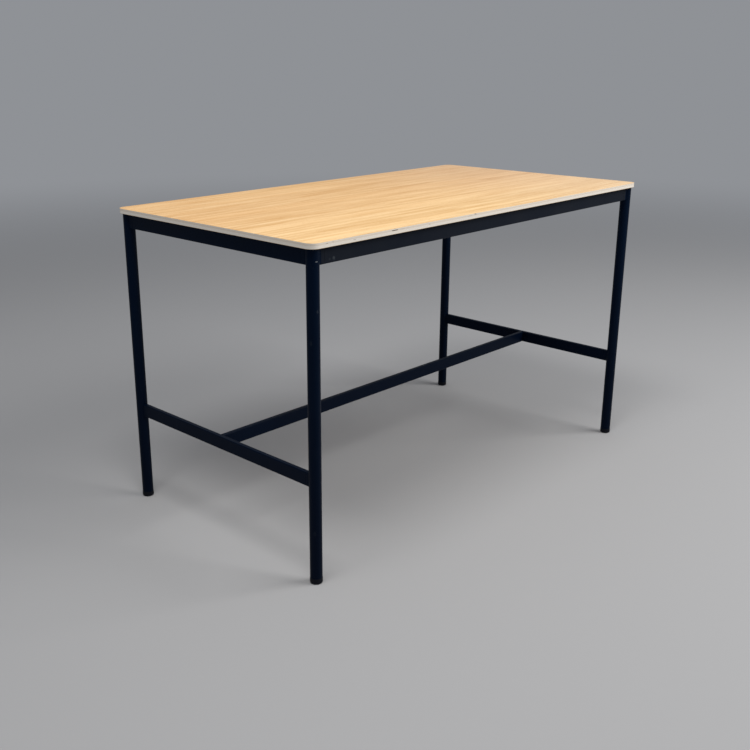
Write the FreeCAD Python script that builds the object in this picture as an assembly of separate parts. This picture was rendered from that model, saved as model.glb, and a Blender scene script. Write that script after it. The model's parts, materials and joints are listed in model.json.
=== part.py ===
import FreeCAD, Part

import math
import os
from collections import namedtuple

from FreeCAD import Placement, Rotation, Vector

# A standing meeting table: a veneered top on a round-legged metal frame with an
# H-shaped stretcher.  Millimetres.  X runs along the table, Y across it and Z up.
# The origin is on the floor under the middle of the top; front is -Y, left is -X.

# --- the whole table ---
TABLE_LENGTH = 1600.0
TABLE_WIDTH = 850.0
TABLE_HEIGHT = 950.0

# --- top: birch plywood with oak veneer above and a backing veneer below ---
VENEER = 0.6
CORE = 13.8
TOP_OVERHANG = 8.0          # the top's edge past the outer side of the legs
TOP_EDGE_EASE = 0.3         # bevel on the top's upper edge
INSERT_DIAMETER = 9.0       # threaded inserts in the underside
INSERT_LENGTH = 10.0

# --- legs ---
LEG_DIAMETER = 35.0
LEG_WALL = 2.0
LEG_END_BEVEL = 0.4         # leaves a fine groove where a leg meets its casting

# --- aprons, the rectangular tubes under the top ---
APRON_HEIGHT = 45.0
APRON_WIDTH = 20.0
APRON_WALL = 1.5

# --- stretcher rails ---
RAIL_HEIGHT = 40.0
RAIL_WIDTH = 15.0
RAIL_WALL = 1.5
RAIL_MIDDLE_Z = 304.0       # floor to the middle of the rails

# --- what the tubes share ---
TUBE_BEND = 1.0             # inside bend radius of every rectangular tube
SPIGOT_LENGTH = 36.0        # how far a spigot reaches into its tube
SEAM = 0.6                  # open joint between a tube's end and its shoulder
SLIP_FIT = 0.1              # spigot to tube, each side

# --- corner castings ---
ARM_LENGTH = 14.5           # round body to the shoulder of each arm
CASTING_FILLET = 2.5        # where an arm grows out of the round body
CASTING_WALL = 3.5          # round the hollow of each arm
LEG_SPIGOT_LENGTH = 40.0
LEG_SPIGOT_WALL = 5.0
LUG_THICKNESS = 4.0         # the flat lug that carries the top
LUG_EDGE = 8.0              # lug screw to the lug's free edges

# --- sockets that carry the end rails on the legs ---
SOCKET_LENGTH = 12.5        # leg to the shoulder

# --- angle brackets between the aprons and the top ---
BRACKET_LENGTH = 40.0
BRACKET_DROP = 30.0
BRACKET_DEPTH = 25.0
BRACKET_SHEET = 2.5
BRACKET_SCREW_SPACING = 24.0
BRACKET_SCREW_DROP = 18.0   # top's underside to the wall screws
BRACKET_SCREW_DEPTH = 15.0  # apron's face to the screw into the top
LONG_APRON_BRACKETS = 3
SHORT_APRON_BRACKETS = 1

# --- levelling feet ---
PAD_PROUD = 0.5             # pad's side past the leg's
PAD_HEIGHT = 16.0
PAD_SOLE_ROUND = 5.0
PAD_RIM_ROUND = 1.0
PAD_GAP = 0.5               # pad to leg with the foot screwed right in
BALL_DIAMETER = 12.0
BALL_MIDDLE_Z = 8.6
BALL_MOUTH_DIAMETER = 10.0  # the pad's mouth, which the ball snaps through
NECK_DIAMETER = 8.0
STUD_DIAMETER = 10.0
STUD_LENGTH = 38.0          # threaded length above the hexagon
STUD_TIP_BEVEL = 1.0
HEXAGON_ACROSS_FLATS = 17.0
HEXAGON_HEIGHT = 5.0
HEXAGON_CLEARANCE = 0.5     # below, above and beside the hexagon
PLUG_LENGTH = 30.0

# --- fasteners ---
BUSH_DIAMETER = 12.0        # threaded bushes welded into a tube's wall
LEG_BUSH_LENGTH = 11.0
RAIL_BUSH_LENGTH = 10.0
THREAD_FIT = 0.05           # screw or bush to its hole, each side
RUNNING_FIT = 0.08          # turning thread or ball to its seat, each side
SCREW_SINK = 0.1            # a flat head's rim below the round of the leg
SOCKET_SHARE = 0.6          # depth of a screw's hexagon socket, as a share of its head

Screw = namedtuple("Screw", "thread length head head_height socket countersunk")
FRAME_SCREW = Screw(5.0, 10.0, 10.0, 2.5, 3.0, True)
TOP_SCREW = Screw(6.0, 12.0, 12.0, 3.6, 4.0, False)
BRACKET_SCREW = Screw(4.2, 9.5, 8.0, 2.4, 2.5, False)
JOINT_BOLT = Screw(6.0, 9.0, 10.0, 6.0, 5.0, False)     # length inside its bush only

# --- worked out from the sizes above ---
leg_radius = LEG_DIAMETER / 2
leg_bore = leg_radius - LEG_WALL
leg_x = TABLE_LENGTH / 2 - TOP_OVERHANG - leg_radius
leg_y = TABLE_WIDTH / 2 - TOP_OVERHANG - leg_radius
top_thickness = CORE + 2 * VENEER
frame_top = TABLE_HEIGHT - top_thickness
apron_bottom = frame_top - APRON_HEIGHT
apron_middle = frame_top - APRON_HEIGHT / 2
rail_bottom = RAIL_MIDDLE_Z - RAIL_HEIGHT / 2
rail_face = RAIL_WIDTH / 2
leg_bottom = PAD_HEIGHT + PAD_GAP
casting_reach = leg_radius + ARM_LENGTH
socket_reach = leg_radius + SOCKET_LENGTH
lug_hole = casting_reach - LUG_EDGE
leg_screw_z = apron_bottom - LEG_SPIGOT_LENGTH / 2
hexagon_bottom = leg_bottom + HEXAGON_CLEARANCE
hexagon_pocket = HEXAGON_HEIGHT + 2 * HEXAGON_CLEARANCE
stud_thread_bottom = hexagon_bottom + HEXAGON_HEIGHT

UP = Vector(0, 0, 1)
TOUCH = 0.01                # how near counts as touching, when edges are picked

# corner name: side along X, side along Y, and the heading of its castings,
# whose arms are drawn along +X and +Y
CORNERS = {
    "front_left": (-1, -1, 0),
    "front_right": (1, -1, 90),
    "back_right": (1, 1, 180),
    "back_left": (-1, 1, 270),
}


# --- drawing helpers ---
def rounded_rectangle(width, height, corner):
    """A face in the XY plane, centred on the origin, with round corners."""
    arcs = []
    for quadrant, (side_x, side_y) in enumerate(((1, 1), (-1, 1), (-1, -1), (1, -1))):
        centre = Vector(side_x * (width / 2 - corner), side_y * (height / 2 - corner), 0)
        points = []
        for degrees in (0, 45, 90):
            angle = math.radians(90 * quadrant + degrees)
            points.append(centre + Vector(math.cos(angle), math.sin(angle), 0) * corner)
        arcs.append(points)
    edges = []
    for points, following in zip(arcs, arcs[1:] + arcs[:1]):
        edges.append(Part.Arc(*points).toShape())
        edges.append(Part.makeLine(points[-1], following[0]))
    return Part.Face(Part.Wire(edges))


def hexagon(across_flats, height, bottom):
    """An upright hexagonal prism on the Z axis."""
    corner_radius = across_flats / math.sqrt(3)
    points = []
    for side in range(7):
        angle = math.radians(60 * side)
        points.append(Vector(math.cos(angle), math.sin(angle), 0) * corner_radius + UP * bottom)
    return Part.Face(Part.makePolygon(points)).extrude(UP * height)


def cylinder(radius, bottom, top, x=0.0, y=0.0):
    """An upright cylinder between two heights."""
    return Part.makeCylinder(radius, top - bottom, Vector(x, y, bottom))


def bar(start, length, width, height, corner):
    """A bar along +X of rounded rectangular section, with its axis through start."""
    solid = rounded_rectangle(width, height, corner).extrude(UP * length)
    lie_along_x = Rotation(Vector(1, 1, 1), 120)     # drawn X, Y, Z become Y, Z, X
    solid.Placement = Placement(start, lie_along_x)
    return solid


def tube(start, length, width, height, wall):
    """A rectangular tube along +X with its axis through start."""
    outside = bar(start, length, width, height, TUBE_BEND + wall)
    inside = bar(start, length, width - 2 * wall, height - 2 * wall, TUBE_BEND)
    return outside.cut(inside)


def spigot(start, length, width, height, wall):
    """A solid bar along +X that slides into the tube of the same sizes."""
    slack = 2 * (wall + SLIP_FIT)
    return bar(start, length, width - slack, height - slack, TUBE_BEND)


def aim(shape, position, direction):
    """Turns a shape drawn on +Z to a direction, and moves its origin to a position."""
    moved = shape.copy()
    moved.Placement = Placement(position, Rotation(UP, direction)).multiply(shape.Placement)
    return moved


def stand(shape, x, y, heading=0):
    """Turns a shape about the Z axis by a heading in degrees, then moves it in plan."""
    moved = shape.copy()
    moved.Placement = Placement(Vector(x, y, 0), Rotation(UP, heading)).multiply(shape.Placement)
    return moved


def level_edges(shape, height):
    """The edges of a shape that lie flat at a height."""
    return [edge for edge in shape.Edges
            if abs(edge.BoundBox.ZMin - height) < TOUCH and abs(edge.BoundBox.ZMax - height) < TOUCH]


def nearest_edge(shape, place):
    """The edge of a shape whose middle is nearest to a place."""
    return min(shape.Edges, key=lambda edge: edge.BoundBox.Center.distanceToPoint(place))


def group(shapes):
    """Separate solids that share one node."""
    return Part.makeCompound(shapes)


# --- screws, drawn with the head's seat at the origin and the thread along -Z ---
def screw_envelope(screw, grow=0.0):
    """A screw without its socket, thicker all round by grow."""
    thread = Part.makeCylinder(screw.thread / 2 + grow, screw.length + grow, Vector(0, 0, 0), -UP)
    if screw.countersunk:
        wide = screw.head / 2 + grow
        narrow = screw.thread / 2 + grow
        head = Part.makeCone(wide, narrow, screw.head_height, Vector(0, 0, 0), -UP)
    else:
        head = Part.makeCylinder(screw.head / 2 + grow, screw.head_height)
    return thread.fuse(head)


def screw_solid(screw):
    """A screw with its hexagon socket."""
    depth = screw.head_height * SOCKET_SHARE
    top = 0.0 if screw.countersunk else screw.head_height
    return screw_envelope(screw).cut(hexagon(screw.socket, depth, top - depth))


def joint_bolt(face, seat):
    """The long cap screw along -X from its seat into the bush behind a face."""
    bolt = JOINT_BOLT._replace(length=seat - face + JOINT_BOLT.length)
    return aim(screw_solid(bolt), Vector(seat, 0, RAIL_MIDDLE_Z), Vector(1, 0, 0))


# --- where things go; a corner is drawn with its leg axis on Z and its aprons along +X and +Y ---
def apron_screw_places():
    """Seats of the two screws that hold the aprons on a casting, on their inner faces."""
    along = casting_reach + SPIGOT_LENGTH / 2
    face = APRON_WIDTH / 2
    on_x_arm = (Vector(along, face, apron_middle), Vector(0, 1, 0))
    on_y_arm = (Vector(face, along, apron_middle), Vector(1, 0, 0))
    return [on_x_arm, on_y_arm]


def leg_screw_place():
    """Seat of the screw through the leg's inner side; its flat head lies just inside the round."""
    inward = Vector(1, 1, 0).normalize()
    depth = math.sqrt(leg_radius ** 2 - (FRAME_SCREW.head / 2) ** 2) - SCREW_SINK
    return inward * depth + UP * leg_screw_z, inward


def lug_screw_place():
    """Seat of the screw that holds the top on a casting's lug."""
    return Vector(lug_hole, lug_hole, frame_top - LUG_THICKNESS), -UP


def evenly_spaced(count, reach):
    """Places that divide the span from -reach to reach into equal parts."""
    return [reach * (2 * (number + 1) / (count + 1) - 1) for number in range(count)]


def bracket_places():
    """Position on each apron's inner face, and heading, of every angle bracket."""
    places = []
    inner_x = leg_x - APRON_WIDTH / 2
    inner_y = leg_y - APRON_WIDTH / 2
    for x in evenly_spaced(LONG_APRON_BRACKETS, leg_x):
        places += [(x, -inner_y, 0), (x, inner_y, 180)]
    for y in evenly_spaced(SHORT_APRON_BRACKETS, leg_y):
        places += [(-inner_x, y, 270), (inner_x, y, 90)]
    return places


def bracket_screw_places():
    """Seats of a bracket's two wall screws, for a bracket drawn on the XZ plane with +Y inwards."""
    seats = []
    for side in (-1, 1):
        seat = Vector(side * BRACKET_SCREW_SPACING / 2, BRACKET_SHEET, frame_top - BRACKET_SCREW_DROP)
        seats.append((seat, Vector(0, 1, 0)))
    return seats


def bracket_top_screw_place():
    """Seat of the screw that goes up through a bracket into the top."""
    return Vector(0, BRACKET_SCREW_DEPTH, frame_top - BRACKET_SHEET), -UP


def at_corners(shapes):
    """Copies of shapes drawn for one corner, at all four corners."""
    placed = []
    for side_x, side_y, heading in CORNERS.values():
        for shape in shapes:
            placed.append(stand(shape, side_x * leg_x, side_y * leg_y, heading))
    return placed


def at_brackets(shapes):
    """Copies of shapes drawn for one bracket, at all the brackets."""
    placed = []
    for x, y, heading in bracket_places():
        for shape in shapes:
            placed.append(stand(shape, x, y, heading))
    return placed


def holes(screw, places, grow=THREAD_FIT):
    """Cutters for the same screw at several seats."""
    cutters = []
    for seat, outward in places:
        cutters.append(aim(screw_envelope(screw, grow), seat, outward))
    return cutters


def screws(screw, places):
    """The same screw at several seats."""
    solids = []
    for seat, outward in places:
        solids.append(aim(screw_solid(screw), seat, outward))
    return solids


# --- the top ---
def top_layer(bottom, thickness):
    """A full-size sheet of the top, its corners concentric with the legs."""
    outline = rounded_rectangle(TABLE_LENGTH, TABLE_WIDTH, TOP_OVERHANG + leg_radius)
    outline.translate(UP * bottom)
    return outline.extrude(UP * thickness)


def insert_places():
    """Plan positions of the threaded inserts: one over each lug and one over each bracket."""
    lug_seat, _ = lug_screw_place()
    bracket_seat, _ = bracket_top_screw_place()
    marks = at_corners([Part.Vertex(lug_seat)]) + at_brackets([Part.Vertex(bracket_seat)])
    return [mark.Point for mark in marks]


def insert_cutters():
    """Holes for the inserts, drilled from the underside."""
    cutters = []
    for place in insert_places():
        radius = INSERT_DIAMETER / 2 + THREAD_FIT
        cutters.append(cylinder(radius, frame_top, frame_top + INSERT_LENGTH, place.x, place.y))
    return cutters


def oak_veneer():
    sheet = top_layer(TABLE_HEIGHT - VENEER, VENEER)
    return sheet.makeChamfer(TOP_EDGE_EASE, level_edges(sheet, TABLE_HEIGHT))


def plywood_core():
    return top_layer(frame_top + VENEER, CORE).cut(insert_cutters())


def backing_veneer():
    return top_layer(frame_top, VENEER).cut(insert_cutters())


def top_inserts():
    inserts = []
    for place in insert_places():
        bush = cylinder(INSERT_DIAMETER / 2, frame_top, frame_top + INSERT_LENGTH, place.x, place.y)
        bore = cylinder(TOP_SCREW.thread / 2 + THREAD_FIT, frame_top, frame_top + INSERT_LENGTH,
                        place.x, place.y)
        inserts.append(bush.cut(bore))
    return group(inserts)


# --- corner castings ---
def casting_arm():
    """The arm along +X: as thick as the apron up to its shoulder, then a hollow spigot."""
    axis = Vector(0, 0, apron_middle)
    arm = bar(axis, casting_reach, APRON_WIDTH, APRON_HEIGHT, TUBE_BEND + APRON_WALL)
    tongue = spigot(axis, casting_reach + SPIGOT_LENGTH, APRON_WIDTH, APRON_HEIGHT, APRON_WALL)
    return arm.fuse([tongue, arm_fillet(-1), arm_fillet(1)])


def casting_hollow():
    """The hollow of the arm along +X, open at the spigot's end."""
    slack = 2 * (APRON_WALL + SLIP_FIT + CASTING_WALL)
    start = Vector(leg_radius, 0, apron_middle)
    return bar(start, casting_reach + SPIGOT_LENGTH, APRON_WIDTH - slack, APRON_HEIGHT - slack, TUBE_BEND)


def arm_fillet(side):
    """The cast fillet that fills the corner between the round body and one side of the arm along +X."""
    across = side * (APRON_WIDTH / 2 + CASTING_FILLET)
    along = math.sqrt((leg_radius + CASTING_FILLET) ** 2 - across ** 2)
    height = APRON_HEIGHT - 2 * (TUBE_BEND + APRON_WALL)
    bottom = apron_middle - height / 2
    axis = Vector(0, 0, bottom)
    outline = Part.makePolygon([axis, Vector(along, 0, bottom), Vector(along, across, bottom), axis])
    wedge = Part.Face(outline).extrude(UP * height)
    return wedge.cut(cylinder(CASTING_FILLET, bottom, bottom + height, along, across))


def lug():
    """The flat plate between the arms, with a round free corner about its screw."""
    bottom = frame_top - LUG_THICKNESS
    plate = Part.makeBox(casting_reach, casting_reach, LUG_THICKNESS, Vector(0, 0, bottom))
    corner_block = Part.makeBox(LUG_EDGE, LUG_EDGE, LUG_THICKNESS, Vector(lug_hole, lug_hole, bottom))
    round_corner = cylinder(LUG_EDGE, bottom, frame_top, lug_hole, lug_hole)
    return plate.cut(corner_block).fuse(round_corner)


def corner_casting():
    """One corner casting, drawn with its leg axis on Z and its arms along +X and +Y."""
    body = cylinder(leg_radius, apron_bottom, frame_top)
    body = body.makeChamfer(LEG_END_BEVEL, level_edges(body, apron_bottom))
    body = body.fuse([stand(casting_arm(), 0, 0, heading) for heading in (0, 90)]).removeSplitter()
    spigot_radius = leg_bore - SLIP_FIT
    leg_spigot = cylinder(spigot_radius, apron_bottom - LEG_SPIGOT_LENGTH, apron_middle)
    leg_hollow = cylinder(spigot_radius - LEG_SPIGOT_WALL, apron_bottom - LEG_SPIGOT_LENGTH, apron_middle)
    body = body.fuse([leg_spigot, lug()])
    body = body.cut([leg_hollow] + [stand(casting_hollow(), 0, 0, heading) for heading in (0, 90)])
    cutters = holes(FRAME_SCREW, apron_screw_places() + [leg_screw_place()])
    cutters += holes(TOP_SCREW, [lug_screw_place()])
    return body.cut(cutters).removeSplitter()


# --- aprons and brackets ---
def apron_holes():
    """Cutters for every screw that goes through an apron's wall."""
    corner_holes = holes(FRAME_SCREW, apron_screw_places())
    return at_corners(corner_holes) + at_brackets(holes(BRACKET_SCREW, bracket_screw_places()))


def apron(half_span, x, y, heading):
    """An apron tube between two castings, from its middle."""
    half_length = half_span - casting_reach - SEAM
    start = Vector(-half_length, 0, apron_middle)
    plain = tube(start, 2 * half_length, APRON_WIDTH, APRON_HEIGHT, APRON_WALL)
    return stand(plain, x, y, heading).cut(apron_holes())


def apron_bracket():
    """An angle of bent sheet, drawn on the XZ plane with +Y inwards."""
    low = frame_top - BRACKET_DROP
    start = Vector(-BRACKET_LENGTH / 2, 0, low)
    angle = Part.makeBox(BRACKET_LENGTH, BRACKET_DEPTH, BRACKET_DROP, start)
    notch = Part.makeBox(BRACKET_LENGTH, BRACKET_DEPTH, BRACKET_DROP,
                         start + Vector(0, BRACKET_SHEET, -BRACKET_SHEET))
    angle = angle.cut(notch)
    inside_bend = nearest_edge(angle, Vector(0, BRACKET_SHEET, frame_top - BRACKET_SHEET))
    angle = angle.makeFillet(TUBE_BEND, [inside_bend])
    angle = angle.makeFillet(TUBE_BEND + BRACKET_SHEET, [nearest_edge(angle, UP * frame_top)])
    cutters = holes(BRACKET_SCREW, bracket_screw_places()) + holes(TOP_SCREW, [bracket_top_screw_place()])
    return angle.cut(cutters)


# --- legs and stretcher ---
def leg(side_y, heading):
    """A round tube from its foot to its casting, for the corner with this heading."""
    outside = cylinder(leg_radius, leg_bottom, apron_bottom)
    ends = level_edges(outside, leg_bottom) + level_edges(outside, apron_bottom)
    outside = outside.makeChamfer(LEG_END_BEVEL, ends)
    cutters = [cylinder(leg_bore, leg_bottom, apron_bottom)]
    cutters.append(stand(bush_hole(LEG_DIAMETER), 0, 0, rail_heading(side_y)))
    cutters += [stand(cutter, 0, 0, heading) for cutter in holes(FRAME_SCREW, [leg_screw_place()])]
    return outside.cut(cutters)


def rail_heading(side_y):
    """Heading of an end rail from the leg on one side of the table."""
    return -90 * side_y


def bolt_bore(start, length):
    """The hole along +X for a joint bolt."""
    return Part.makeCylinder(JOINT_BOLT.thread / 2 + THREAD_FIT, length, start, Vector(1, 0, 0))


def rail_screw_place(shoulder):
    """Seat, under a rail along +X, of the screw into the spigot that starts at a shoulder."""
    return Vector(shoulder + SPIGOT_LENGTH / 2, 0, rail_bottom), -UP


def rail_socket():
    """The saddle, shoulder and spigot that carry an end rail, drawn along +X from the leg axis."""
    axis = Vector(0, 0, RAIL_MIDDLE_Z)
    shoulder = bar(axis, socket_reach, RAIL_WIDTH, RAIL_HEIGHT, TUBE_BEND + RAIL_WALL)
    tongue = spigot(axis, socket_reach + SPIGOT_LENGTH, RAIL_WIDTH, RAIL_HEIGHT, RAIL_WALL)
    saddle = cylinder(leg_radius + THREAD_FIT, 0, TABLE_HEIGHT)
    cutters = [saddle, bolt_bore(axis, socket_reach + SPIGOT_LENGTH)]
    cutters += holes(FRAME_SCREW, [rail_screw_place(socket_reach)])
    return shoulder.fuse(tongue).cut(cutters).removeSplitter()


def leg_bush():
    """The threaded bush in a leg's wall, along +X, ground to the leg's round."""
    start = Vector(leg_radius - LEG_BUSH_LENGTH, 0, RAIL_MIDDLE_Z)
    plain = Part.makeCylinder(BUSH_DIAMETER / 2, LEG_BUSH_LENGTH, start, Vector(1, 0, 0))
    return plain.common(cylinder(leg_radius, 0, TABLE_HEIGHT)).cut(bolt_bore(start, LEG_BUSH_LENGTH))


def rail_bush():
    """The threaded bush in an end rail's inner wall, along +X from the rail's axis."""
    start = Vector(rail_face - RAIL_BUSH_LENGTH, 0, RAIL_MIDDLE_Z)
    plain = Part.makeCylinder(BUSH_DIAMETER / 2, RAIL_BUSH_LENGTH, start, Vector(1, 0, 0))
    return plain.cut(bolt_bore(start, RAIL_BUSH_LENGTH))


def rail_tube(half_length):
    """A plain rail along X, from its middle."""
    start = Vector(-half_length, 0, RAIL_MIDDLE_Z)
    return tube(start, 2 * half_length, RAIL_WIDTH, RAIL_HEIGHT, RAIL_WALL)


def bush_hole(reach):
    """The hole along +X for a threaded bush, from the middle of a leg or rail."""
    start = Vector(0, 0, RAIL_MIDDLE_Z)
    return Part.makeCylinder(BUSH_DIAMETER / 2 + THREAD_FIT, reach, start, Vector(1, 0, 0))


def end_rails():
    """The left and right rails, each between a front leg and a back leg."""
    cutters = at_rail_ends([bush_hole(RAIL_WIDTH)])
    cutters += at_legs(holes(FRAME_SCREW, [rail_screw_place(socket_reach)]))
    rails = at_rail_ends([stand(rail_tube(leg_y - socket_reach - SEAM), 0, 0, 90)])
    return [rail.cut(cutters) for rail in rails]


def centre_spigot():
    """The block bolted to an end rail's inner face, drawn along +X from that rail's axis."""
    start = Vector(rail_face, 0, RAIL_MIDDLE_Z)
    block = spigot(start, SPIGOT_LENGTH, RAIL_WIDTH, RAIL_HEIGHT, RAIL_WALL)
    cutters = [bolt_bore(start, SPIGOT_LENGTH)] + holes(FRAME_SCREW, [rail_screw_place(rail_face)])
    return block.cut(cutters)


def centre_rail():
    """The rail between the two end rails."""
    return rail_tube(leg_x - rail_face).cut(at_rail_ends(holes(FRAME_SCREW, [rail_screw_place(rail_face)])))


def at_legs(shapes):
    """Copies of shapes drawn along +X from a leg's axis, along the end rails at all four legs."""
    placed = []
    for side_x, side_y, _ in CORNERS.values():
        for shape in shapes:
            placed.append(stand(shape, side_x * leg_x, side_y * leg_y, rail_heading(side_y)))
    return placed


def at_rail_ends(shapes):
    """Copies of shapes drawn along +X from an end rail's axis, at both ends of the centre rail."""
    placed = []
    for shape in shapes:
        placed.append(stand(shape, -leg_x, 0, 0))
        placed.append(stand(shape, leg_x, 0, 180))
    return placed


def rail_screws():
    """The screws under all the rails' ends."""
    end_screws = screws(FRAME_SCREW, [rail_screw_place(socket_reach)])
    centre_screws = screws(FRAME_SCREW, [rail_screw_place(rail_face)])
    return group(at_legs(end_screws) + at_rail_ends(centre_screws))


# --- levelling feet, drawn with the leg axis on Z ---
def foot_pad():
    """A round pad with a snap-in ball socket."""
    body = cylinder(leg_radius + PAD_PROUD, 0, PAD_HEIGHT)
    body = body.makeFillet(PAD_SOLE_ROUND, level_edges(body, 0))
    body = body.makeFillet(PAD_RIM_ROUND, level_edges(body, PAD_HEIGHT))
    socket = Part.makeSphere(BALL_DIAMETER / 2 + RUNNING_FIT, Vector(0, 0, BALL_MIDDLE_Z))
    mouth = cylinder(BALL_MOUTH_DIAMETER / 2, BALL_MIDDLE_Z, PAD_HEIGHT)
    return body.cut([socket, mouth])


def foot_stud():
    """A ball, a neck, a hexagon for the spanner and a threaded stud."""
    ball = Part.makeSphere(BALL_DIAMETER / 2, Vector(0, 0, BALL_MIDDLE_Z))
    neck = cylinder(NECK_DIAMETER / 2, BALL_MIDDLE_Z, hexagon_bottom)
    collar = hexagon(HEXAGON_ACROSS_FLATS, HEXAGON_HEIGHT, hexagon_bottom)
    tip = stud_thread_bottom + STUD_LENGTH
    thread = cylinder(STUD_DIAMETER / 2, stud_thread_bottom, tip)
    thread = thread.makeChamfer(STUD_TIP_BEVEL, level_edges(thread, tip))
    return ball.fuse([neck, collar, thread]).removeSplitter()


def leg_plug():
    """The threaded plug in a leg's lower end, with a pocket for the stud's hexagon."""
    body = cylinder(leg_bore - THREAD_FIT, leg_bottom, leg_bottom + PLUG_LENGTH)
    pocket_radius = HEXAGON_ACROSS_FLATS / math.sqrt(3) + HEXAGON_CLEARANCE
    pocket = cylinder(pocket_radius, leg_bottom, leg_bottom + hexagon_pocket)
    thread = cylinder(STUD_DIAMETER / 2 + RUNNING_FIT, leg_bottom, leg_bottom + PLUG_LENGTH)
    return body.cut([pocket, thread])


# --- all the nodes ---
def build_nodes():
    """Every node's name and shape."""
    nodes = {
        "oak_veneer": oak_veneer(),
        "plywood_core": plywood_core(),
        "backing_veneer": backing_veneer(),
        "top_inserts": top_inserts(),
        "apron_front": apron(leg_x, 0, -leg_y, 0),
        "apron_back": apron(leg_x, 0, leg_y, 0),
        "apron_left": apron(leg_y, -leg_x, 0, 90),
        "apron_right": apron(leg_y, leg_x, 0, 90),
        "apron_screws": group(at_corners(screws(FRAME_SCREW, apron_screw_places()))),
        "leg_screws": group(at_corners(screws(FRAME_SCREW, [leg_screw_place()]))),
        "lug_screws": group(at_corners(screws(TOP_SCREW, [lug_screw_place()]))),
        "apron_brackets": group(at_brackets([apron_bracket()])),
        "bracket_wall_screws": group(at_brackets(screws(BRACKET_SCREW, bracket_screw_places()))),
        "bracket_top_screws": group(at_brackets(screws(TOP_SCREW, [bracket_top_screw_place()]))),
        "leg_bushes": group(at_legs([leg_bush()])),
        "socket_bolts": group(at_legs([joint_bolt(leg_radius, socket_reach + SPIGOT_LENGTH)])),
        "rail_bushes": group(at_rail_ends([rail_bush()])),
        "centre_rail_bolts": group(at_rail_ends([joint_bolt(rail_face, rail_face + SPIGOT_LENGTH)])),
        "centre_rail": centre_rail(),
        "rail_screws": rail_screws(),
    }
    for side, rail, block in zip(("left", "right"), end_rails(), at_rail_ends([centre_spigot()])):
        nodes["end_rail_" + side] = rail
        nodes["centre_spigot_" + side] = block
    for name, (side_x, side_y, heading) in CORNERS.items():
        x = side_x * leg_x
        y = side_y * leg_y
        nodes["corner_casting_" + name] = stand(corner_casting(), x, y, heading)
        nodes["leg_" + name] = stand(leg(side_y, heading), x, y)
        nodes["rail_socket_" + name] = stand(rail_socket(), x, y, rail_heading(side_y))
        nodes["leg_plug_" + name] = stand(leg_plug(), x, y)
        nodes["foot_pad_" + name] = stand(foot_pad(), x, y)
        nodes["foot_stud_" + name] = stand(foot_stud(), x, y)
    return nodes


os.makedirs("parts", exist_ok=True)
for node, shape in build_nodes().items():
    shape.exportStep("parts/" + node + ".step")
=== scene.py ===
import json
import math

import bmesh
import bpy
import numpy as np
from mathutils import Matrix

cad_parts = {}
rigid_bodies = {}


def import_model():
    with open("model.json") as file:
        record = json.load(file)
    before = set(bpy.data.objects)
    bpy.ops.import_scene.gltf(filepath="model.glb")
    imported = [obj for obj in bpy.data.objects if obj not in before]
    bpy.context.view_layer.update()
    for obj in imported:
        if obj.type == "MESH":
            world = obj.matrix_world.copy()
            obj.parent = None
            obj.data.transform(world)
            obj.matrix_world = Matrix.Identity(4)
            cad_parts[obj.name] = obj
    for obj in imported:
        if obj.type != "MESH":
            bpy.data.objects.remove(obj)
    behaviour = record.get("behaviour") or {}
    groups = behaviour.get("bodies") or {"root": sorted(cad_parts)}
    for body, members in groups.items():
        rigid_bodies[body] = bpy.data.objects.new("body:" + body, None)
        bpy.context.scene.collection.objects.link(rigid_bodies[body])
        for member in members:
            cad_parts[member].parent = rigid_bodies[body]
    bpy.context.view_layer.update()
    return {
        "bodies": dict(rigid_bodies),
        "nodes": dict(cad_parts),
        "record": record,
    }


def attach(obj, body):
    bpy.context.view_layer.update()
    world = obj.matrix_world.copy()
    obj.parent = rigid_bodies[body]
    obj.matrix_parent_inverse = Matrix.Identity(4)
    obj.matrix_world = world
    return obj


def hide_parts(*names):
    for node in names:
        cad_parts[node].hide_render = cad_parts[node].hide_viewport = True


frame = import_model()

# Looks of the standing table, in metres, in the frame of its CAD model: X along the
# table, Y across it to the back, Z up, the origin on the floor under its middle.

MM = 0.001

# --- sizes shared with the CAD model ---
TOP_HALF_LENGTH = 800 * MM
TOP_HALF_WIDTH = 425 * MM
TOP_CORNER = 25.5 * MM
CORE_BOTTOM = 935.6 * MM
CORE_TOP = 949.4 * MM
TOP_FACE = 950 * MM
TOP_EASE = 0.3 * MM
INSERT_HOLE_RADIUS = 4.55 * MM
INSERT_HOLE_TOP = 945 * MM
LUG_INSERT_X = 750.5 * MM
LUG_INSERT_Y = 375.5 * MM
LONG_SIDE_INSERT_X = (-387.25 * MM, 0.0, 387.25 * MM)
LONG_SIDE_INSERT_Y = 374.5 * MM
SHORT_SIDE_INSERT_X = 749.5 * MM
LEG_X = 774.5 * MM
LEG_Y = 399.5 * MM
CORNERS = {
    "front_left": (-1, -1),
    "front_right": (1, -1),
    "back_right": (1, 1),
    "back_left": (-1, 1),
}

# --- plywood edge ---
PLIES = 11
PLY = (CORE_TOP - CORE_BOTTOM) / PLIES

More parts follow.
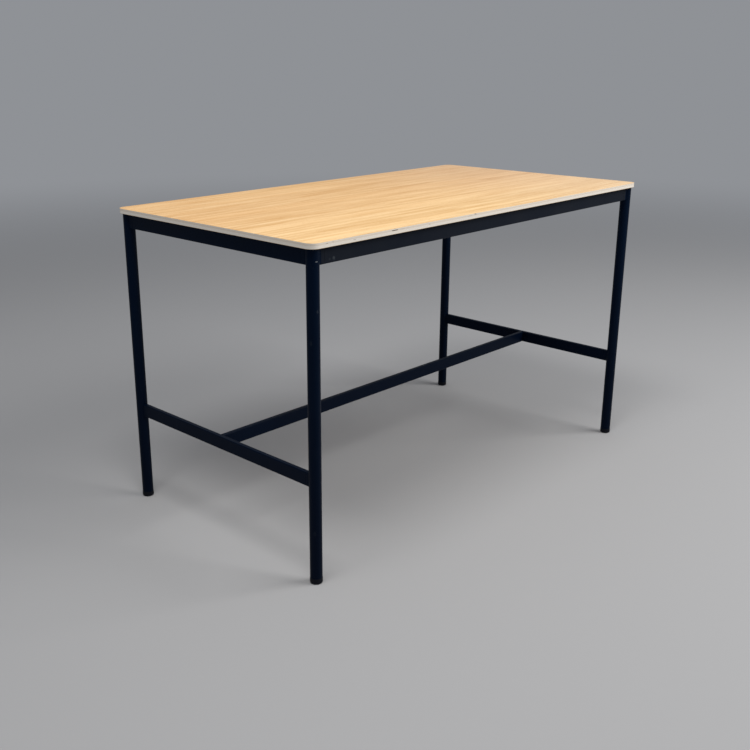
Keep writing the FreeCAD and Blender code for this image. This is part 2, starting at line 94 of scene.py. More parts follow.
# Open gaps and dents in the front edge: place along X, height, half length, half height, depth.
EDGE_GAPS = (
    (-495.5 * MM, 945.1 * MM, 12.5 * MM, 0.95 * MM, 2.2 * MM),
    (-650.0 * MM, 941.1 * MM, 6.5 * MM, 0.50 * MM, 0.50 * MM),
    (-748.5 * MM, 944.5 * MM, 3.0 * MM, 0.45 * MM, 1.0 * MM),
    (-727.5 * MM, 946.4 * MM, 2.2 * MM, 0.40 * MM, 0.8 * MM),
    (-464.5 * MM, 945.2 * MM, 9.0 * MM, 0.30 * MM, 0.38 * MM),
    (-352.0 * MM, 943.6 * MM, 2.6 * MM, 0.35 * MM, 0.7 * MM),
    (-169.5 * MM, 944.8 * MM, 11.0 * MM, 0.35 * MM, 0.40 * MM),
    (-145.0 * MM, 946.2 * MM, 5.0 * MM, 2.60 * MM, 0.36 * MM),
)
# Rows down the edge are fine above this height, which takes in every gap.
FINE_ROWS_FROM = 940.2 * MM
FINE_ROW = 0.2 * MM
# Small chips off the veneer's front edge: place along X, half length, depth.
VENEER_CHIPS = (
    (-145.0 * MM, 4.6 * MM, 1.3 * MM),
    (-497.0 * MM, 3.0 * MM, 0.6 * MM),
)
# Heights over which browner plies set in and over which they end.
BROWN_PLIES_FROM = (942.5 * MM, 943.6 * MM)
BROWN_PLIES_TO = (947.0 * MM, 948.0 * MM)

# --- wear on the frame's coat ---
# Light rubbed spots: place, radii along X, Y and Z, and how strong.
SCUFFS = (
    ((-0.7095, -0.4095, 0.9010), (0.0050, 0.0050, 0.0055), 1.0),
    ((-0.7245, -0.4095, 0.9000), (0.0040, 0.0040, 0.0035), 0.4),
    ((-0.7762, -0.4169, 0.7747), (0.0034, 0.0034, 0.0050), 0.45),
    ((-0.7905, -0.4067, 0.6925), (0.0040, 0.0040, 0.0070), 0.2),
    ((-0.7888, -0.4100, 0.1560), (0.0045, 0.0045, 0.0080), 0.12),
)
# The light scar on the near corner's casting.
SCAR_PLACE = (-0.7772, -0.4168, 0.9020)
SCAR_RADII = (0.0046, 0.0060, 0.0017)
# Borders over which the painted grey sheen on the front apron's face fades: just behind its face in
# Y, just below it in Z, and at its ends in X squared.
APRON_SHEEN_BEHIND = (-0.4094, -0.4088)
APRON_SHEEN_BELOW = (0.8853, 0.8857)
APRON_SHEEN_PAST = (0.566, 0.572)

# --- levelling stud ---
BALL_RADIUS = 6 * MM
BALL_HEIGHT = 8.6 * MM
BALL_ROWS = 22
NECK_RADIUS = 4 * MM
HEXAGON_BOTTOM = 17 * MM
HEXAGON_TOP = 22 * MM
HEXAGON_HALF_FLATS = 8.5 * MM
HEXAGON_FACE_RADIUS = 8.35 * MM
# Rows of the hexagon in mm above its bottom; the doubled ones step in to the neck and thread.
HEXAGON_ROWS = (0, 0, 0.35, 0.8, 2.5, 4.2, 4.65, 5.0, 5.0)
THREAD_TIP = 60 * MM
THREAD_RADIUS = 5 * MM
THREAD_DEPTH = 0.92 * MM
THREAD_PITCH = 1.5 * MM
THREAD_RUNOUT = 1.6 * MM
THREAD_CHAMFER = 1 * MM
THREAD_ROOT_SHARE = 0.14
THREAD_FLANK_SHARE = 0.74
THREAD_ROWS_PER_PITCH = 8
STUD_STEP_DEGREES = 7.5

# --- studio ---
BACKGROUND = (0.275, 0.286, 0.306)
FLOOR_COLOUR = (0.42, 0.42, 0.427)
FLOOR_HALF = 40.0
FADE_FROM = 3.0
FADE_TO = 9.0
# Soft lamps: name, place, point aimed at, width, height, watts, colour.
LAMPS = (
    ("key", (2.4, -3.5, 3.7), (0.0, 0.0, 0.7), 3.2, 2.4, 187, (1.0, 0.985, 0.96)),
    ("overhead", (-1.6, -0.8, 4.2), (-0.3, -0.2, 0.9), 1.7, 1.2, 76, (1.0, 0.99, 0.97)),
)
# The camera's turn in radians: yaw from +Y towards +X, pitch downwards.
CAMERA_PLACE = (-2.4095, -2.10106, 1.39306)
CAMERA_YAW = 0.791495
CAMERA_PITCH = 0.314987
CAMERA_ROLL = -0.004031
CAMERA_SENSOR_MM = 36.0
CAMERA_LENS_MM = 46.3995
CAMERA_SHIFT = (0.04963, -0.01043)
CAMERA_REACH = 200.0


# --- procedural finishes ---
class Wire:
    """One value in a finish. Arithmetic on it adds Math nodes."""

    def __init__(self, finish, socket):
        self.finish = finish
        self.socket = socket

    def math(self, operation, *values):
        return self.finish.node("ShaderNodeMath", {"operation": operation}, values)

    def __add__(self, other):
        return self.math("ADD", self, other)

    def __radd__(self, other):
        return self.math("ADD", other, self)

    def __sub__(self, other):
        return self.math("SUBTRACT", self, other)

    def __rsub__(self, other):
        return self.math("SUBTRACT", other, self)

    def __mul__(self, other):
        return self.math("MULTIPLY", self, other)

    def __rmul__(self, other):
        return self.math("MULTIPLY", other, self)

    def __truediv__(self, other):
        return self.math("DIVIDE", self, other)

    def __mod__(self, other):
        return self.math("FLOORED_MODULO", self, other)

    def __abs__(self):
        return self.math("ABSOLUTE", self)

    def floor(self):
        return self.math("FLOOR", self)


class Finish:
    """A procedural material for one kind of surface, drawn on object coordinates in metres."""

    def __init__(self, name):
        self.material = bpy.data.materials.new(name)
        self.material.use_nodes = True
        self.tree = self.material.node_tree
        self.shader = self.tree.nodes["Principled BSDF"]
        self.place = self.node("ShaderNodeTexCoord", {}, {}, "Object")
        self.x, self.y, self.z = [
            self.node("ShaderNodeSeparateXYZ", {}, {"Vector": self.place}, axis) for axis in "XYZ"
        ]

    def node(self, kind, settings, inputs, output=None):
        """Adds a node with its settings, feeds its inputs by name or in order, gives an output."""
        made = self.tree.nodes.new(kind)
        for setting, value in settings.items():
            setattr(made, setting, value)
        open_inputs = [socket for socket in made.inputs if socket.enabled]
        by_name = {socket.name: socket for socket in open_inputs}
        if isinstance(inputs, dict):
            pairs = [(by_name[name], value) for name, value in inputs.items()]
        else:
            pairs = list(zip(open_inputs, inputs))
        for socket, value in pairs:
            self.feed(socket, value)
        outputs = [socket for socket in made.outputs if socket.enabled]
        chosen = next(socket for socket in outputs if output in (None, socket.name))
        return Wire(self, chosen)

    def feed(self, socket, value):
        if isinstance(value, Wire):
            self.tree.links.new(value.socket, socket)
        else:
            socket.default_value = value

    def set(self, **values):
        """Sets the shader's inputs; underscores stand for spaces."""
        for name, value in values.items():
            if not isinstance(value, Wire) and np.size(value) == 3:
                value = (*value, 1.0)
            self.feed(self.shader.inputs[name.replace("_", " ")], value)

    def vector(self, x, y, z):
        return self.node("ShaderNodeCombineXYZ", {}, (x, y, z))

    def vector_math(self, operation, *values, output=None):
        return self.node("ShaderNodeVectorMath", {"operation": operation}, values, output)

    def scaled(self, *per_metre):
        """Object coordinates stretched, in pattern cells per metre."""
        if len(per_metre) == 1:
            per_metre = per_metre * 3
        return self.vector_math("MULTIPLY", self.place, per_metre)

    def noise(self, vector, detail=2.0, roughness=0.5):
        """Smooth noise from 0 to 1 about a half."""
        inputs = {"Vector": vector, "Scale": 1.0, "Detail": detail, "Roughness": roughness}
        return self.node("ShaderNodeTexNoise", {"noise_dimensions": "3D"}, inputs)

    def step(self, value, low, high):
        """Rises smoothly from 0 at low to 1 at high."""
        inputs = {"Value": value, "From Min": low, "From Max": high}
        return self.node("ShaderNodeMapRange", {"interpolation_type": "SMOOTHSTEP"}, inputs)

    def colour(self, factor, first, second):
        """First colour where the factor is 0, second where it is 1."""
        pair = [value if isinstance(value, Wire) else (*value, 1.0) for value in (first, second)]
        inputs = {"Factor": factor, "A": pair[0], "B": pair[1]}
        return self.node("ShaderNodeMix", {"data_type": "RGBA"}, inputs)

    def relief(self, height):
        """Normals bent by a height in metres."""
        inputs = {"Strength": 1.0, "Distance": 1.0, "Height": height}
        self.set(Normal=self.node("ShaderNodeBump", {}, inputs))

    def near(self, point, radii, ragged):
        """1 at a point, 0 past its radii along X, Y and Z, with a ragged border."""
        share = self.vector_math("DIVIDE", self.vector_math("SUBTRACT", self.place, point), radii)
        length = self.vector_math("LENGTH", share, output="Value")
        length = length + (self.noise(self.scaled(700), 3.0) - 0.5) * ragged
        return 1 - self.step(length, 0.7, 1.0)


def lacquered_oak():
    """Straight rift-cut oak under a thin dull lacquer, its grain along X."""
    finish = Finish("lacquered_oak")
    x, y = finish.x, finish.y
    sway = finish.noise(finish.vector(x * 1.1, y * 1.7, 0.0), 1.0) - 0.5
    across = y + sway * 0.03
    band = finish.noise(finish.vector(x * 0.6, across * 18, 0.3), 1.0)
    streak = finish.noise(finish.vector(x * 2.7, across * 70, 1.7), 3.0, 0.55)
    ring = finish.noise(finish.vector(x * 8.0, across * 270, 3.1), 3.0, 0.6)
    fibre = finish.noise(finish.vector(x * 22, across * 1500, 5.3), 2.0, 0.6)
    pore = finish.noise(finish.vector(x * 70, across * 1900, 7.9), 1.0)
    pore = finish.step(pore, 0.58, 0.68) * (1 - finish.step(ring, 0.44, 0.62))
    fleck = finish.step(finish.noise(finish.vector(x * 70, across * 520, 9.1), 1.0), 0.70, 0.78)
    tone = 0.5 + (band - 0.5) * 0.95 + (streak - 0.5) * 2.3
    tone = tone + (ring - 0.5) * 1.4 + (fibre - 0.5) * 0.5
    wood = finish.colour(tone, (0.71, 0.420, 0.172), (0.93, 0.657, 0.348))
    redder = finish.colour(0.25, wood, (0.86, 0.50, 0.20))
    wood = finish.colour(finish.step(band + (streak - 0.5) * 0.3, 0.35, 0.75), wood, redder)
    wood = finish.colour(fleck * 0.22, wood, (0.95, 0.70, 0.42))
    # Painted sheen: paler towards the right-hand end. Painted light: brighter and bluer at the
    # front edge, darker towards the back.
    painted_far_sheen = finish.step(x + y * 0.1, -0.15, 0.95)
    wood = finish.colour(painted_far_sheen * 0.26, wood, (0.74, 0.575, 0.48))
    painted_falloff = finish.step(y, -0.40, 0.10)
    painted_light_tint = finish.colour(painted_falloff, (1.025, 1.06, 1.12), (0.968, 0.94, 0.96))
    wood = finish.vector_math("MULTIPLY", wood, painted_light_tint)
    wood = finish.colour(pore * 0.50, wood, (0.40, 0.20, 0.075))
    finish.set(Base_Color=wood, Roughness=0.66 + pore * 0.14 + (band - 0.5) * 0.06)
    finish.set(Specular_IOR_Level=0.13)
    finish.relief((fibre - 0.5) * 6e-6 - pore * 2.5e-5)
    return finish.material


def lacquered_ply():
    """Sanded plywood edge: plies of long and end grain by turns, glue lines, and painted shade in
    its gaps and under its chips.
    """
    finish = Finish("lacquered_ply_edge")
    waver = (finish.noise(finish.scaled(9, 9, 60), 2.0) - 0.5) * 0.22
    level = (finish.z - CORE_BOTTOM) / PLY + waver
    glue = finish.step(abs(level % 1.0 - 0.5), 0.43, 0.5)
    odd = finish.step(abs(level.floor() % 2.0), 0.4, 0.6)
    normal = finish.node("ShaderNodeNewGeometry", {}, {}, "Normal")
    facing = finish.node("ShaderNodeSeparateXYZ", {}, {"Vector": normal}, "X")
    end_wise = facing * facing
    end_grain = odd * end_wise + (1 - odd) * (1 - end_wise)
    ply_tone = finish.vector(finish.x * 1.5, finish.y * 1.5, level.floor() * 7.3)
    ply_tone = finish.noise(ply_tone, 2.0)
    fibre = finish.noise(finish.scaled(60, 60, 2600), 3.0, 0.6)
    speck = finish.step(finish.noise(finish.scaled(950, 950, 1500), 2.0), 0.60, 0.72)
    dirt = finish.step(finish.noise(finish.scaled(28, 28, 240), 3.0), 0.60, 0.78)
    upper = finish.step(finish.z, CORE_BOTTOM + 5 * PLY, CORE_TOP)
    brown = finish.step(finish.z, *BROWN_PLIES_FROM) * (1 - finish.step(finish.z, *BROWN_PLIES_TO))
    # Painted shade: a point mask, darkest deep in the front edge's gaps and under the veneer chips.
    hollow_shade = finish.node("ShaderNodeAttribute", {"attribute_name": "hollow_shade"}, {}, "Fac")
    wood = finish.colour(ply_tone * 0.5 + fibre * 0.5, (0.84, 0.765, 0.665), (0.965, 0.915, 0.84))
    wood = finish.colour(end_grain * 0.38, wood, (0.62, 0.53, 0.43))
    wood = finish.colour(speck * (0.10 + end_grain * 0.25), wood, (0.30, 0.22, 0.15))
    wood = finish.colour(brown * 0.38, wood, (0.62, 0.50, 0.37))
    wood = finish.colour(dirt * upper * 0.35, wood, (0.45, 0.34, 0.25))
    wood = finish.colour(glue * 0.30, wood, (0.38, 0.27, 0.18))
    # Painted shade: near-black where the hollow mask is set.
    wood = finish.colour(hollow_shade, wood, (0.035, 0.024, 0.018))
    finish.set(Base_Color=wood, Roughness=0.55 + end_grain * 0.10, Specular_IOR_Level=0.35)
    finish.relief(fibre * 1.2e-5 - speck * 2e-5 - glue * 1.5e-5)
    return finish.material


def backing_wood():
    """Plain cheap veneer under the top, its grain along X."""
    finish = Finish("backing_wood")
    across = finish.y + (finish.noise(finish.scaled(1.4, 2.2, 0), 1.0) - 0.5) * 0.05
    figure = finish.noise(finish.vector(finish.x * 1.2, across * 40, 2.2), 3.0)
    fibre = finish.noise(finish.vector(finish.x * 20, across * 1400, 4.4), 2.0)
    tone = 0.5 + (figure - 0.5) * 1.1 + (fibre - 0.5) * 0.5
    wood = finish.colour(tone, (0.42, 0.27, 0.14), (0.66, 0.49, 0.31))
    finish.set(Base_Color=wood, Roughness=0.62, Specular_IOR_Level=0.3)
    finish.relief(fibre * 1.5e-5)
    return finish.material


def powder_coat():
    """Dull blue-black powder coat with fine orange peel.

    It is faintly rubbed, has painted shade low down and a painted grey sheen on the front apron,
    with a scar and scuffs.
    """
    finish = Finish("blue_black_powder_coat")
    peel = finish.noise(finish.scaled(650), 2.0)
    grit = finish.noise(finish.scaled(2600), 1.0)
    smudge = finish.noise(finish.scaled(9, 9, 5), 4.0, 0.6)
    rub = finish.step(finish.noise(finish.scaled(42, 42, 16), 3.0), 0.60, 0.74)
    dust = finish.step(finish.noise(finish.scaled(330), 1.0), 0.73, 0.78)
    scratched = finish.step(finish.noise(finish.scaled(420, 420, 900), 2.0), 0.40, 0.62)
    scar = finish.near(SCAR_PLACE, SCAR_RADII, 0.5)
    scuff = sum(finish.near(place, radii, 1.3) * depth for place, radii, depth in SCUFFS)
    # Painted shade: the coat is darker low down, where less light reaches.
    low = 1 - finish.step(finish.z, 0.05, 0.85)
    # Painted sheen: the front apron's face is greyed as a reflection would grey it.
    painted_apron_sheen = (1 - finish.step(finish.y, *APRON_SHEEN_BEHIND)) * finish.step(finish.z, *APRON_SHEEN_BELOW)
    painted_apron_sheen = painted_apron_sheen * (1 - finish.step(finish.x * finish.x, *APRON_SHEEN_PAST))
    painted_apron_sheen = painted_apron_sheen * (0.64 + (smudge - 0.5) * 0.5)
    coat = finish.colour(smudge, (0.0003, 0.0036, 0.0125), (0.0007, 0.0062, 0.0205))
    coat = finish.colour(rub * 0.35, coat, (0.003, 0.009, 0.021))
    # Painted shade low down.
    coat = finish.colour(low * 0.45, coat, (0.0002, 0.0012, 0.0050))
    # Painted grey sheen on the front apron.
    coat = finish.colour(painted_apron_sheen, coat, (0.0165, 0.0185, 0.0225))
    coat = finish.colour(dust * 0.10, coat, (0.10, 0.105, 0.115))
    coat = finish.colour(grit * 0.30, coat, (0.0012, 0.0056, 0.0175))
    coat = finish.colour(scuff * (0.35 + scratched * 0.5), coat, (0.060, 0.070, 0.080))
    coat = finish.colour(scar, coat, (0.135, 0.150, 0.165))
    finish.set(Base_Color=coat, Roughness=0.40 + (smudge - 0.5) * 0.14 - rub * 0.05 + dust * 0.1)
    finish.set(Specular_IOR_Level=0.05)
    finish.relief(peel * 2.6e-5 + grit * 5e-6 - scar * 6e-5)
    return finish.material


def black_oxide():
    """Blackened steel screws, dry and slightly mottled."""
    finish = Finish("black_oxide_steel")
    mottle = finish.noise(finish.scaled(900), 3.0)
    finish.set(Base_Color=finish.colour(mottle, (0.008, 0.008, 0.010), (0.030, 0.030, 0.034)))
    finish.set(Metallic=0.6, Roughness=0.40 + mottle * 0.15)
    finish.relief(mottle * 4e-6)
    return finish.material


def zinc_steel():
    """Bright zinc plate: soft spangle over fine turning marks."""
    finish = Finish("bright_zinc_steel")
    spangle = finish.noise(finish.scaled(420), 2.0)
    turning = finish.noise(finish.scaled(120, 120, 9000), 1.0)
    metal = finish.colour(spangle, (0.50, 0.51, 0.52), (0.68, 0.68, 0.67))
    finish.set(Base_Color=metal, Metallic=1.0, Roughness=0.26 + spangle * 0.14)
    finish.relief(turning * 2e-6)
    return finish.material


def cast_alloy():
    """Bare cast aluminium, dull and slightly pitted."""
    finish = Finish("bare_cast_alloy")
    skin = finish.noise(finish.scaled(700), 4.0, 0.65)
    pit = finish.step(finish.noise(finish.scaled(1500), 1.0), 0.66, 0.76)
    metal = finish.colour(skin, (0.40, 0.40, 0.41), (0.56, 0.56, 0.57))
    finish.set(Base_Color=finish.colour(pit * 0.5, metal, (0.22, 0.22, 0.22)), Metallic=0.9)
    finish.set(Roughness=0.42 + skin * 0.2)
    finish.relief(skin * 1.5e-5 - pit * 3e-5)
    return finish.material


def moulded_plastic():
    """Black moulded plastic with a fine spark texture, greyed by floor dust at its sole."""
    finish = Finish("black_moulded_plastic")
    spark = finish.noise(finish.scaled(2600), 3.0, 0.7)
    smear = finish.noise(finish.scaled(60, 60, 120), 3.0)
    dusty = (1 - finish.step(finish.z, 0.0, 0.006)) * smear
    black = finish.colour(smear, (0.0016, 0.0024, 0.0060), (0.0036, 0.0048, 0.0095))
    finish.set(Base_Color=finish.colour(dusty * 0.12, black, (0.10, 0.10, 0.10)))
    finish.set(Roughness=0.52 + dusty * 0.25, Specular_IOR_Level=0.12)
    finish.relief(spark * 1.2e-5)
    return finish.material


FINISHES = {
    "oak": lacquered_oak(),
    "birch_ply": lacquered_ply(),
    "backing": backing_wood(),
    "frame_coat": powder_coat(),
    "black_steel": black_oxide(),
    "zinc_steel": zinc_steel(),
    "cast_alloy": cast_alloy(),
    "foot_plastic": moulded_plastic(),
}


# --- shaping with numpy ---
def rise(value, low, high):
    """0 below low, 1 above high, and 3t^2 - 2t^3 between them."""
    t = np.clip((value - low) / (high - low), 0, 1)
    return t * t * (3 - 2 * t)


def linked(name, data):
    """A new object at the origin, in the scene."""
    made = bpy.data.objects.new(name, data)
    bpy.context.scene.collection.objects.link(made)
    return made


def piece(name, grid, slot, body, replaced, sharp_degrees, hollow_shade=None):
    """A closed piece from a grid of points, rows by columns; the columns join up round it."""
    rows, columns = grid.shape[:2]
    number = np.arange(rows * columns).reshape(rows, columns)
    following = np.roll(number, -1, axis=1)
    faces = np.stack([number[:-1], following[:-1], following[1:], number[1:]], axis=-1)
    mesh = bpy.data.meshes.new(name)
    mesh.from_pydata(grid.reshape(-1, 3), [], faces.reshape(-1, 4))
    # The optional hollow mask is painted shade, stored on the points.
    if hollow_shade is not None:
        values = mesh.attributes.new("hollow_shade", "FLOAT", "POINT").data
        values.foreach_set("value", hollow_shade.ravel())
    close_seams(mesh)
    mesh.shade_smooth()
    mesh.set_sharp_from_angle(angle=math.radians(sharp_degrees))
    mesh.materials.append(FINISHES[slot])
    made = linked(name, mesh)
    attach(made, body)
    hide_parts(replaced)
    return made


def close_seams(mesh):
    """Merges the points that meet at seams and poles, and turns the faces outwards."""
    shape = bmesh.new()
    shape.from_mesh(mesh)
    bmesh.ops.remove_doubles(shape, verts=shape.verts, dist=1e-7)
    bmesh.ops.dissolve_degenerate(shape, edges=shape.edges, dist=1e-8)
    bmesh.ops.recalc_face_normals(shape, faces=shape.faces)
    shape.to_mesh(mesh)
    shape.free()


# --- the top ---
def spread(reach, coarse, fine, marks):
    """Places between -reach and reach: coarsely apart, and finely apart about each mark."""
    places = [np.linspace(-reach, reach, round(2 * reach / coarse) + 1)]
    places += [np.arange(mark - half, mark + half, fine) for mark, half in marks]
    joined = np.sort(np.concatenate(places))
    joined = joined[np.append(np.diff(joined) > fine / 3, True)]
    return joined[np.abs(joined) < reach - fine / 2]


def outline():
    """Points of the top's rounded outline and their outward directions, round from the front.

    Straight sides are spread along X or Y, the back like the front so that they meet on the
    middle line; each corner is the quarter circle centre + radius (cos a, sin a).
    """
    flat_x = TOP_HALF_LENGTH - TOP_CORNER
    flat_y = TOP_HALF_WIDTH - TOP_CORNER
    marks = [(mark[0], mark[2] + 3 * MM) for mark in EDGE_GAPS]
    marks += [(mark[0], mark[1] + 2 * MM) for mark in VENEER_CHIPS]
    along = spread(flat_x, 25 * MM, 0.45 * MM, marks)
    across = spread(flat_y, 25 * MM, 1 * MM, [])
    bend = np.radians(np.linspace(-90, 0, 19))
    directions = np.stack([np.cos(bend), np.sin(bend)], axis=1)
    sides = (
        (flat_x, flat_y, along),
        (flat_y, flat_x, across),
        (flat_x, flat_y, -along[::-1]),
        (flat_y, flat_x, across),
    )
    points, outward = [], []
    for quarter, (end, side, places) in enumerate(sides):
        angle = math.radians(90 * quarter)
        cosine, sine = math.cos(angle), math.sin(angle)
        turn = np.array([[cosine, sine], [-sine, cosine]])
        straight = np.stack([places, np.full_like(places, -side - TOP_CORNER)], axis=1)
        corner = np.array([end, -side]) + TOP_CORNER * directions
        points += [straight @ turn, corner @ turn]
        outward += [np.tile([0.0, -1.0], (len(places), 1)) @ turn, directions @ turn]
    return np.concatenate(points), np.concatenate(outward)


def sheet_grid(rim, inset):
    """A flat sheet with the top's outline as one closed grid.

    Rows run from the middle line over the upper face, down the rim and back under the lower
    face. On the faces a point is outline + t (nearest point of the middle line - outline); on
    the rim it is outline - depth x outward at each height, where depth is the rim's own plus
    the inset at that row and place.
    """
    points, outward = outline()
    spine_half = TOP_HALF_LENGTH - TOP_HALF_WIDTH
    nearest = np.clip(points[:, 0], -spine_half, spine_half)
    spine = np.stack([nearest, np.zeros(len(points)), np.zeros(len(points))], axis=1)
    rim = np.array(rim)
    depths = rim[:, :1] + inset(rim, points)
    walls = points[None] - depths[..., None] * outward[None]
    heights = np.repeat(rim[:, None, 1:], len(points), axis=1)
    wall = np.concatenate([walls, heights], axis=2)
    shares = np.array([1.0, 0.6, 0.25, 0.06, 0.012])[:, None, None]
    upper, lower = [edge + shares * (spine - edge) * [1, 1, 0] for edge in wall[[0, -1]]]
    return np.concatenate([upper, wall, lower[::-1]]), points, len(shares), depths


def chip_depth(points):
    """How far the veneer's front edge is chipped: depth x sqrt(1 - u^2), u across each chip."""
    depth = np.zeros(len(points))
    front = points[:, 1] < -TOP_HALF_WIDTH + 1e-6
    for place, half_length, deep in VENEER_CHIPS:
        u = (points[:, 0] - place) / half_length
        jagged = 1 + 0.25 * np.sin(9 * u) + 0.15 * np.sin(23 * u + 1)
        depth += front * deep * jagged * np.sqrt(np.clip(1 - u * u, 0, 1))
    return depth


def gap_depth(rim, points):
    """How far the core's front edge is hollowed: depth x a soft-edged box for each gap."""
    depth = np.zeros((len(rim), len(points)))
    front = points[:, 1] < -TOP_HALF_WIDTH + 1e-6
    for place, height, half_length, half_height, deep in EDGE_GAPS:
        u = np.abs(points[:, 0] - place) / half_length
        waver = 0.12 * np.sin(points[:, 0] / half_length * 3.1)
        v = np.abs((rim[:, 1] - height)[:, None] / half_height + waver[None])
        depth += deep * front * (1 - rise(u, 0.8, 1.0)) * (1 - rise(v, 0.7, 1.05))
    return depth


def oak_sheet():
    """The face veneer, its upper edge eased by a quarter circle and chipped in two places."""
    quarter = np.radians(np.linspace(90, 0, 5))
    insets = np.append(TOP_EASE * (1 - np.cos(quarter)), 0.0)
    heights = np.append(TOP_FACE - TOP_EASE * (1 - np.sin(quarter)), CORE_TOP)
    rim = np.stack([insets, heights], axis=1)
    grid = sheet_grid(rim, lambda rim, points: np.tile(chip_depth(points), (len(rim), 1)))[0]
    return piece("oak_face", grid, "oak", "frame", "oak_veneer", 40)


def ply_core():
    """The plywood core with open gaps in its front edge, painted shade in them, and its blind holes
    for the inserts.
    """
    fine = np.arange(FINE_ROWS_FROM / MM, CORE_TOP / MM, FINE_ROW / MM) * MM
    coarse = np.linspace(CORE_BOTTOM, fine[0], 6)[:-1]
    heights = np.concatenate([coarse, fine, [CORE_TOP]])[::-1]
    rim = np.stack([np.zeros_like(heights), heights], axis=1)
    grid, points, face_rows, depths = sheet_grid(rim, gap_depth)
    # Painted shade: the hollow mask darkens the rows just under the veneer chips, and the gaps by
    # their depth.
    shade_under_chips = 0.8 * rise(chip_depth(points), 0.1 * MM, 0.5 * MM)
    hollow_shade = np.zeros(grid.shape[:2])
    hollow_shade[face_rows:face_rows + len(rim)] = rise(depths, 0.15 * MM, 0.7 * MM)
    hollow_shade[face_rows - 1] = shade_under_chips
    hollow_shade[face_rows] = np.maximum(hollow_shade[face_rows], shade_under_chips)
    core = piece("ply_core", grid, "birch_ply", "frame", "plywood_core", 40, hollow_shade)
    drill(core, insert_places())
    return core


def insert_places():
    """Plan places of the threaded inserts: over the corner lugs and over the angle brackets."""
    lugs = [(side_x * LUG_INSERT_X, side_y * LUG_INSERT_Y) for side_x, side_y in CORNERS.values()]
    long_sides = [
        (x, side_y * LONG_SIDE_INSERT_Y) for x in LONG_SIDE_INSERT_X for side_y in (-1, 1)
    ]
    short_sides = [(-SHORT_SIDE_INSERT_X, 0.0), (SHORT_SIDE_INSERT_X, 0.0)]
    return lugs + long_sides + short_sides


def drill(core, places):
    """Cuts round blind holes into the core from below: each cutter is a circle carried along Z."""
    angles = np.radians(np.arange(0, 360, 10))
    circle = INSERT_HOLE_RADIUS * np.stack([np.cos(angles), np.sin(angles)], axis=1)
    heights = np.array([CORE_BOTTOM - 1 * MM, INSERT_HOLE_TOP])
    shape = (len(places), len(heights), len(angles))
    around = np.broadcast_to((np.array(places)[:, None] + circle)[:, None], (*shape, 2))
    upright = np.broadcast_to(heights[:, None, None], (*shape, 1))
    points = np.concatenate([around, upright], axis=3).reshape(-1, 3)
    number = np.arange(len(points)).reshape(shape)
    low, high = number[:, 0], number[:, 1]
    walls = np.stack([low, np.roll(low, -1, axis=1), np.roll(high, -1, axis=1), high], axis=-1)
    caps = low[:, ::-1].tolist() + high.tolist()
    mesh = bpy.data.meshes.new("insert_cutters")
    mesh.from_pydata(points, [], walls.reshape(-1, 4).tolist() + caps)
    tool = linked("insert_cutters", mesh)
    cut = core.modifiers.new("insert_holes", "BOOLEAN")
    cut.object = tool
    cut.operation = "DIFFERENCE"
    cut.solver = "EXACT"
    drilled = core.evaluated_get(bpy.context.evaluated_depsgraph_get())
    core_mesh = bpy.data.meshes.new_from_object(drilled)
    core.modifiers.clear()
    core.data = core_mesh
    bpy.data.objects.remove(tool)


# --- levelling studs ---
def hexagon_radius(angle):
    """Distance from the axis to a hexagon's side: half the width across flats / cos(off a side)."""
    return HEXAGON_HALF_FLATS / np.cos(np.mod(angle, math.pi / 3) - math.pi / 6)


def thread_radius(height, angle):
    """A right-hand thread: a flat-topped triangle wave of height / pitch - angle / turn."""
    phase = np.mod((height - HEXAGON_TOP) / THREAD_PITCH - angle / (2 * math.pi), 1)
    wave = np.clip((np.abs(2 * phase - 1) - THREAD_ROOT_SHARE) / THREAD_FLANK_SHARE, 0, 1)
    begun = rise(height, HEXAGON_TOP + 0.3 * MM, HEXAGON_TOP + THREAD_RUNOUT)
    radius = THREAD_RADIUS - THREAD_DEPTH * begun * (1 - wave)
    return np.minimum(radius, THREAD_RADIUS - THREAD_CHAMFER + (THREAD_TIP - height))


def levelling_stud(name, x, y):
    """Ball, neck, hexagon and thread as one surface: a radius for each row and angle."""
    angle = np.radians(np.arange(0, 360, STUD_STEP_DEGREES))[None]
    neck_angle = math.acos(NECK_RADIUS / BALL_RADIUS)
    climb = np.linspace(-math.pi / 2, neck_angle, BALL_ROWS)[:, None]
    ball_heights = BALL_HEIGHT + BALL_RADIUS * np.sin(climb)
    ball = BALL_RADIUS * np.cos(climb) + 0 * angle
    hexagon_heights = np.array(HEXAGON_ROWS)[:, None] * MM + HEXAGON_BOTTOM
    from_face = np.minimum(hexagon_heights - HEXAGON_BOTTOM, HEXAGON_TOP - hexagon_heights)
    chamfer = HEXAGON_FACE_RADIUS + math.sqrt(3) * from_face
    collar = np.minimum(hexagon_radius(angle), chamfer)
    collar[0] = NECK_RADIUS
    collar[-1] = THREAD_RADIUS
    thread_rows = np.arange(
        HEXAGON_TOP + 0.1 * MM, THREAD_TIP, THREAD_PITCH / THREAD_ROWS_PER_PITCH
    )
    thread_heights = np.append(thread_rows, THREAD_TIP)[:, None]
    thread = thread_radius(thread_heights, angle)
    tip_centre = np.zeros_like(angle)
    radius = np.concatenate([ball, collar, thread, tip_centre])
    heights = np.concatenate([ball_heights, hexagon_heights, thread_heights, [[THREAD_TIP]]])
    grid = [x + radius * np.cos(angle), y + radius * np.sin(angle), heights + 0 * angle]
    body = name.replace("foot_stud", "stud")
    return piece("threaded_" + name, np.stack(grid, axis=-1), "zinc_steel", body, name, 35)


oak_sheet()
ply_core()
for corner, (side_x, side_y) in CORNERS.items():
    levelling_stud("foot_stud_" + corner, side_x * LEG_X, side_y * LEG_Y)

for part in frame["record"]["subparts"]:
    for slot in frame["nodes"][part["node"]].material_slots:
        slot.link = "OBJECT"
        slot.material = FINISHES[part["material_slot"]]


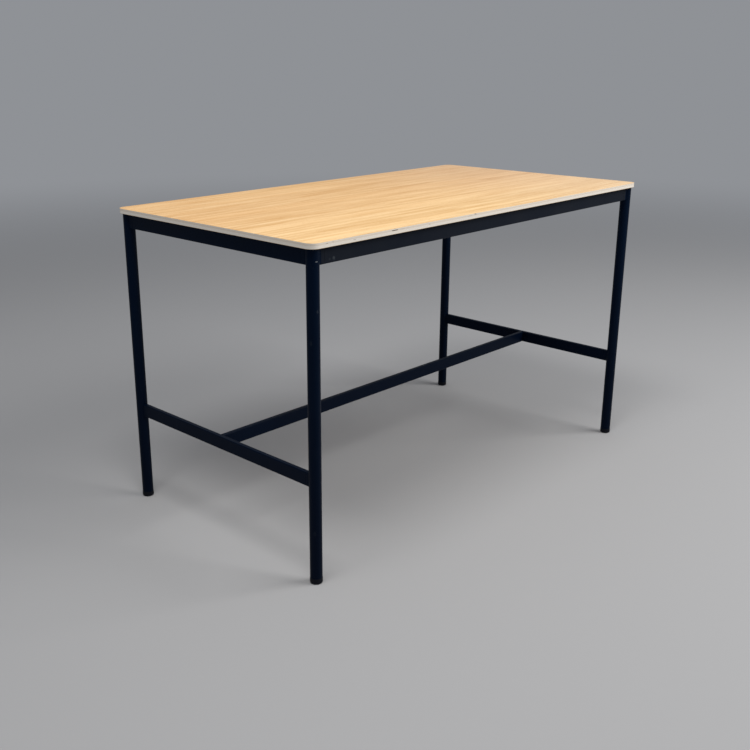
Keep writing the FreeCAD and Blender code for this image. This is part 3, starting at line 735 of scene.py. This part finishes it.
# --- floor, light and camera ---
def studio_floor():
    """A plain pale floor that fades into the background far from the table."""
    finish = Finish("pale_floor")
    finish.set(Base_Color=FLOOR_COLOUR, Roughness=0.75, Specular_IOR_Level=0.2)
    radius = finish.vector_math("LENGTH", finish.place, output="Value")
    far_off = finish.step(radius, FADE_FROM, FADE_TO)
    lit = Wire(finish, finish.shader.outputs[0])
    glow = finish.node("ShaderNodeEmission", {}, {"Color": (*BACKGROUND, 1.0), "Strength": 1.0})
    mixed = finish.node("ShaderNodeMixShader", {}, (far_off, lit, glow))
    finish.feed(finish.tree.nodes["Material Output"].inputs["Surface"], mixed)
    corners = [(x * FLOOR_HALF, y * FLOOR_HALF, 0.0) for x, y in CORNERS.values()]
    mesh = bpy.data.meshes.new("floor")
    mesh.from_pydata(corners, [], [(0, 1, 2, 3)])
    mesh.materials.append(finish.material)
    floor = linked("floor", mesh)
    # The floor stays under the feet: it goes down with the front left one.
    floor.parent = frame["bodies"]["foot_front_left"]


def soft_lamp(name, place, aim, width, height, watts, colour):
    """A soft rectangular lamp turned to a point, unseen by the camera."""
    lamp = bpy.data.lights.new(name, "AREA")
    lamp.shape = "RECTANGLE"
    lamp.size = width
    lamp.size_y = height
    lamp.energy = watts
    lamp.color = colour
    made = linked(name, lamp)
    made.location = place
    ahead = np.array(aim) - np.array(place)
    tilt = math.atan2(math.hypot(ahead[0], ahead[1]), -ahead[2])
    made.rotation_euler = (tilt, 0.0, math.atan2(ahead[1], ahead[0]) - math.pi / 2)
    made.visible_camera = False


def studio():
    """The plain background and the lamps."""
    scene = bpy.context.scene
    world = bpy.data.worlds.new("studio")
    world.use_nodes = True
    backdrop = world.node_tree.nodes["Background"]
    backdrop.inputs["Color"].default_value = (*BACKGROUND, 1.0)
    backdrop.inputs["Strength"].default_value = 1.0
    scene.world = world
    scene.view_settings.view_transform = "Standard"
    for lamp in LAMPS:
        soft_lamp(*lamp)


def photographer():
    """The camera, turned by yaw, pitch and a slight roll, and shifted for the framing."""
    camera = bpy.data.cameras.new("camera")
    camera.sensor_width = CAMERA_SENSOR_MM
    camera.lens = CAMERA_LENS_MM
    camera.shift_x, camera.shift_y = CAMERA_SHIFT
    camera.clip_end = CAMERA_REACH
    made = linked("camera", camera)
    made.location = CAMERA_PLACE
    turns = ((-CAMERA_YAW, "Z"), (math.pi / 2 - CAMERA_PITCH, "X"), (CAMERA_ROLL, "Z"))
    yaw, pitch, roll = [Matrix.Rotation(angle, 3, axis) for angle, axis in turns]
    made.rotation_euler = (yaw @ pitch @ roll).to_euler()
    bpy.context.scene.camera = made


studio_floor()
studio()
photographer()
